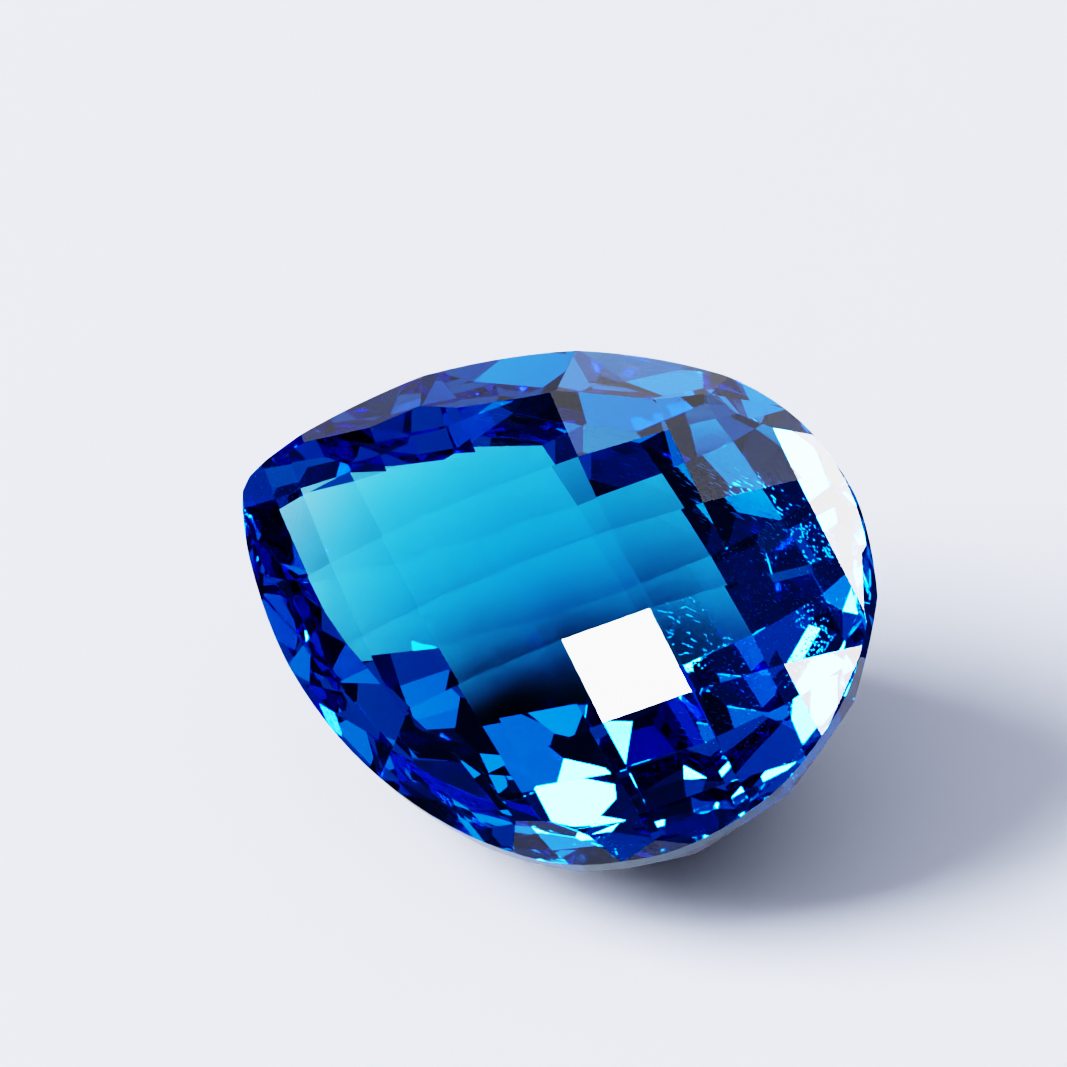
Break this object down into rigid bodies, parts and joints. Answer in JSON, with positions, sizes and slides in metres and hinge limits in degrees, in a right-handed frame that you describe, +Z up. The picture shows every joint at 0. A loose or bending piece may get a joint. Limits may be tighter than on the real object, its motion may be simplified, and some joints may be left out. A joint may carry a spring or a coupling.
{
  "type": "cut pear-shaped topaz gemstone",
  "caption": "Clear blue topaz cut as a pear: a checkerboard crown over a thin girdle and a deeper faceted pavilion, lying on one broad pavilion facet.",
  "frame": {"origin": "on the resting surface, under the middle of the bounding box", "axes": "+X along the pear from its tip to its round head, +Z up from the pavilion facet that the stone rests on; the crown faces up and towards -Y"},
  "size_m": [0.0158, 0.0106, 0.0087],
  "materials": {
    "topaz": "polished clear blue mineral, refractive index 1.62, fine surface scratches"
  },
  "bodies": {
    "root": {"topaz": "topaz"}
  },
  "joints": []
}
